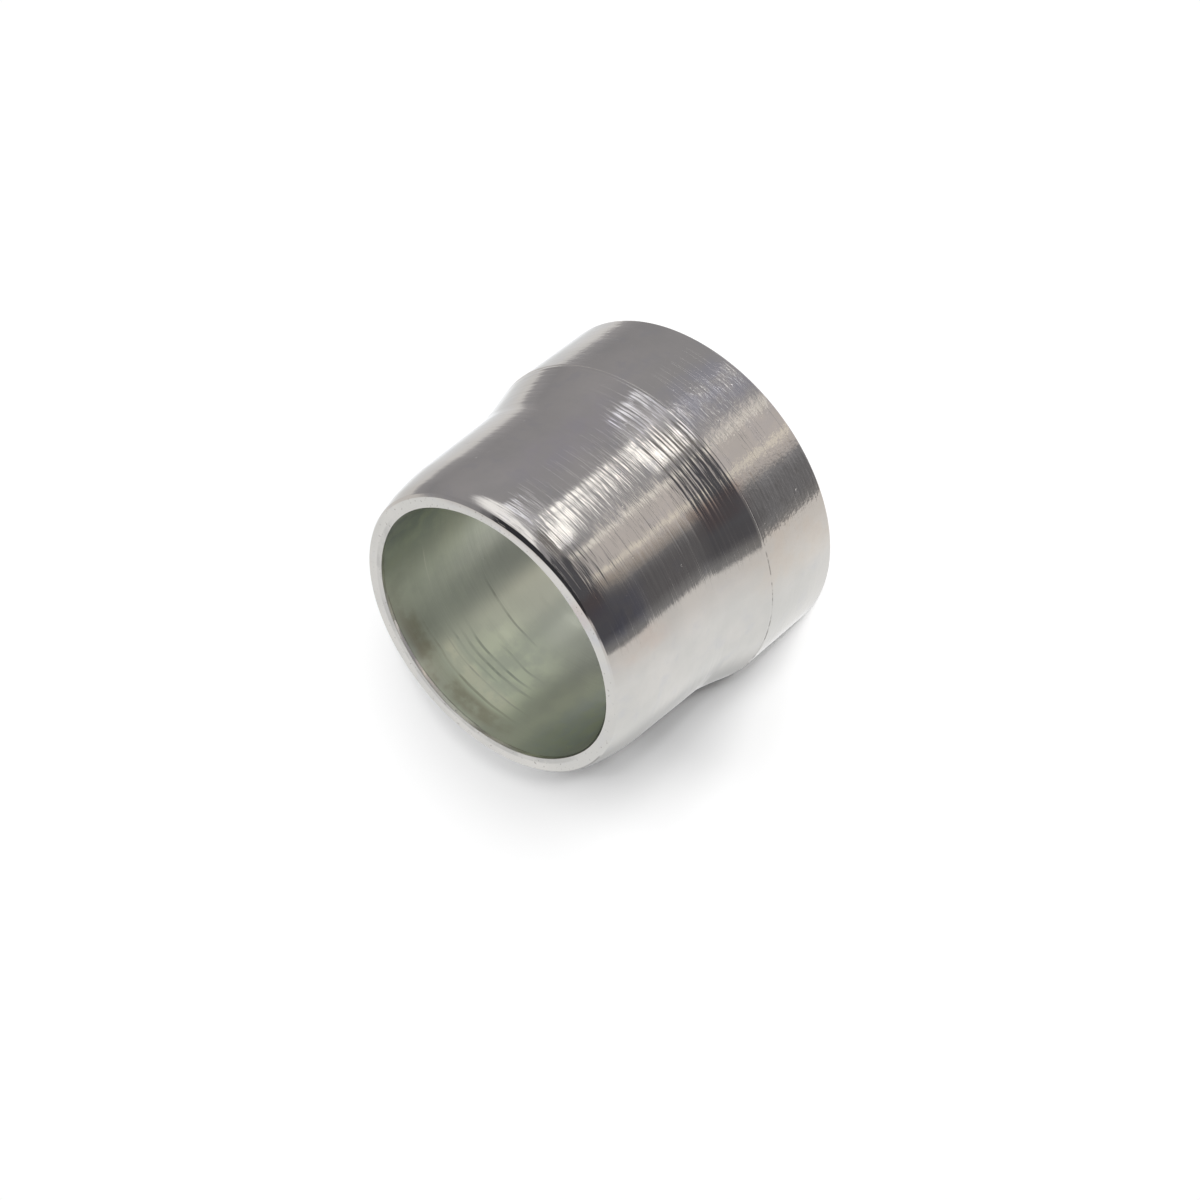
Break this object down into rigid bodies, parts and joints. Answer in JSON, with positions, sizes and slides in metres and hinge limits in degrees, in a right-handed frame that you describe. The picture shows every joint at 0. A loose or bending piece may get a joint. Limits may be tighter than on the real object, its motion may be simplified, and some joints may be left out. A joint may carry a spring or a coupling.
{
  "type": "crimp ferrule",
  "caption": "One-piece turned metal sleeve with a wide collar, a cone down to a smooth body, and a rounded nose round a plain through bore.",
  "frame": {"origin": "centre of the bore at the collar's flat end face", "axes": "+Z along the bore's axis, from the collar towards the thin rim of the nose; X and Y are any two directions across it"},
  "size_m": [0.024, 0.024, 0.02],
  "materials": {
    "plated_steel": "bright zinc-plated steel, turned with fine circumferential marks, satin grey-green inside the bore"
  },
  "bodies": {
    "root": {"ferrule": "plated_steel"}
  },
  "joints": []
}
